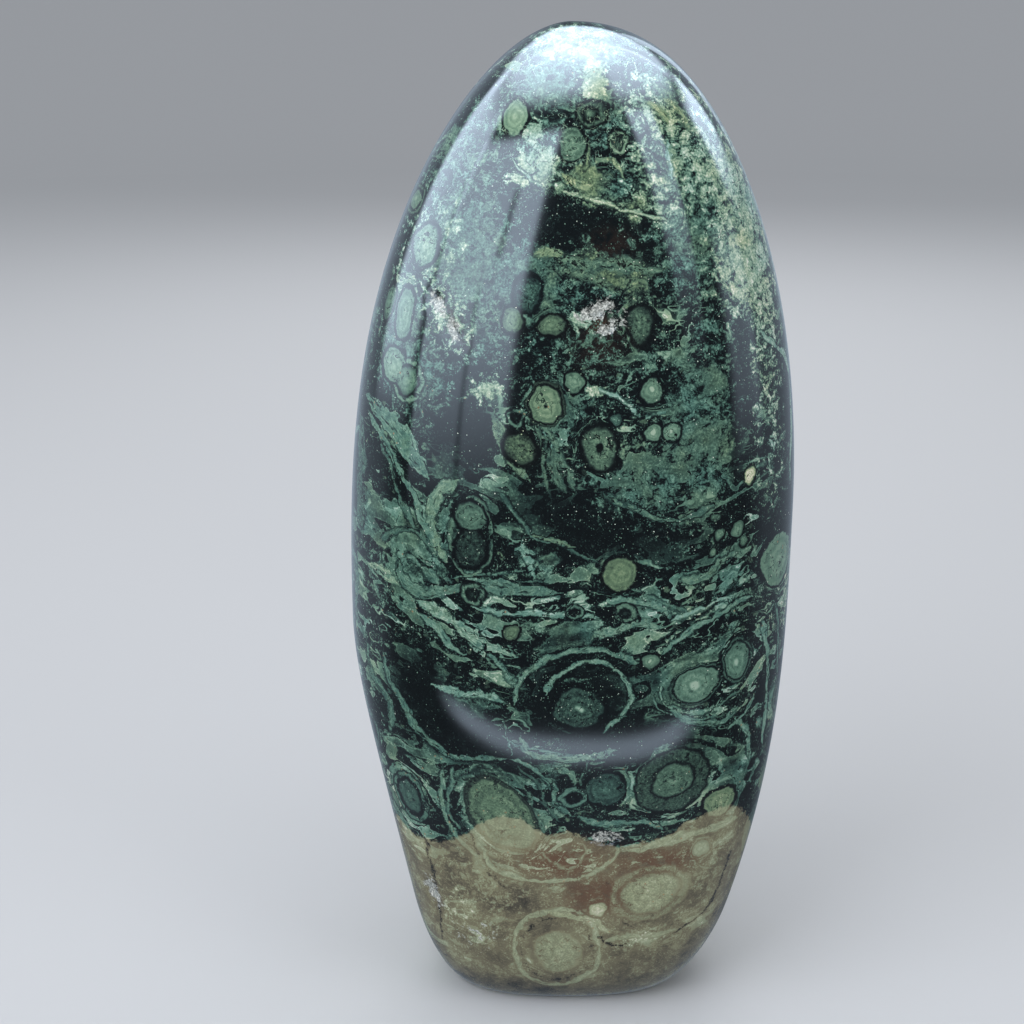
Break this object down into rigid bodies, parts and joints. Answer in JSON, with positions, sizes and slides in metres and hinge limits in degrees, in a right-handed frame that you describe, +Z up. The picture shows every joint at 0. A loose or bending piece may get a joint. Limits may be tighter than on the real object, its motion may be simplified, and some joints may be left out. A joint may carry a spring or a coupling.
{
  "type": "kambaba jasper freeform",
  "caption": "Tall polished ovoid of green and black orbicular stone with a brown lower zone, cut flat underneath so that it stands upright.",
  "frame": {"origin": "middle of the bounding box's underside, on the plane of the flat cut base", "axes": "+Z up along the stone's length, +Y from the face shown in the picture to the back, +X to the right of that face"},
  "size_m": [0.0972, 0.067, 0.22],
  "materials": {
    "polished_kambaba": "polished green-black stone with lighter green orbs and ribbons, a brown foot and a few small quartz vugs; sawn matt underneath"
  },
  "bodies": {
    "root": {"kambaba_jasper": "polished_kambaba"}
  },
  "joints": []
}
